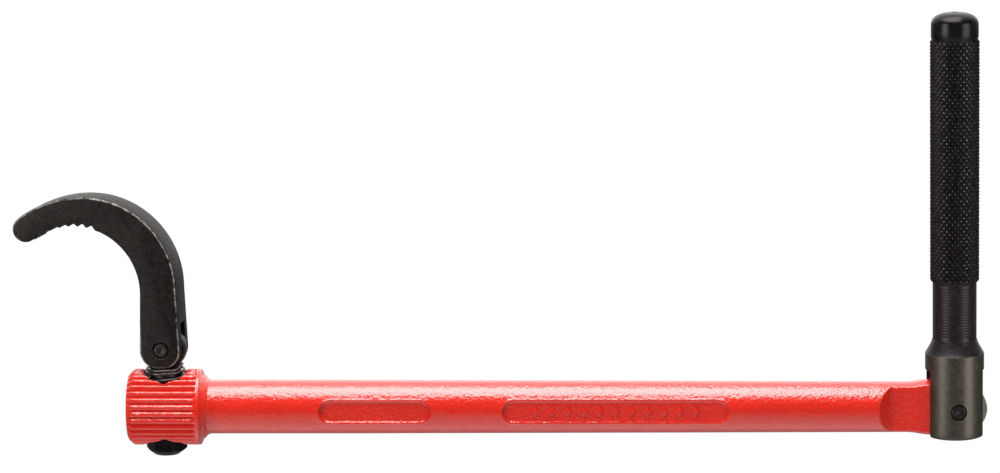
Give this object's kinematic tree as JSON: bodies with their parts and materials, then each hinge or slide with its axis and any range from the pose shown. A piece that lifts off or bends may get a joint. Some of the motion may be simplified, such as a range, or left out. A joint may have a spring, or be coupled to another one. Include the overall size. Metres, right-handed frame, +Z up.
{
  "type": "basin wrench",
  "caption": "Hand wrench with a toothed hook jaw on a sprung swivel post at one end of a round forged shaft and a folding knurled bar handle at the other.",
  "frame": {"origin": "centre of the bounding box's bottom, which is the lower end of the locknut under the head", "axes": "+X along the shaft from the jaw to the handle, +Z up along the swivel post and the raised handle, +Y to the back, away from the side that shows the upset pin ends first"},
  "size_m": [0.2748, 0.0224, 0.1255],
  "materials": {
    "red_enamel": "glossy baked enamel",
    "jaw_black": "forged, black oxide, matte",
    "handle_black": "turned and knurled, black oxide, satin",
    "pin_black": "black oxide, satin",
    "fastener_black": "black oxide, satin",
    "spring_black": "black spring steel",
    "bright_steel": "ground ball and spring wire"
  },
  "bodies": {
    "shaft": {"shaft_body": "red_enamel"},
    "swivel": {"swivel_post": "pin_black", "jaw_spring": "spring_black", "swivel_washer": "fastener_black", "swivel_locknut": "fastener_black"},
    "jaw": {"hook_jaw": "jaw_black", "jaw_pin": "pin_black"},
    "handle": {"handle_bar": "handle_black", "handle_pin": "pin_black", "friction_ball": "bright_steel", "friction_spring": "bright_steel"}
  },
  "joints": [
    {"name": "jaw_swivel", "type": "hinge", "parent": "shaft", "child": "swivel", "pos_m": [-0.09482, -0.0004, 0.0134], "axis": [0, 0, 1], "continuous": true},
    {"name": "jaw_tilt", "type": "hinge", "parent": "swivel", "child": "jaw", "pos_m": [-0.09482, -0.0004, 0.03053], "axis": [0.1564, 0.9877, 0], "range_deg": [-45, 90], "deforming": ["jaw_spring"]},
    {"name": "handle_swing", "type": "hinge", "parent": "shaft", "child": "handle", "pos_m": [0.12868, -0.0004, 0.0134], "axis": [0, 1, 0], "range_deg": [-13, 196]}
  ]
}
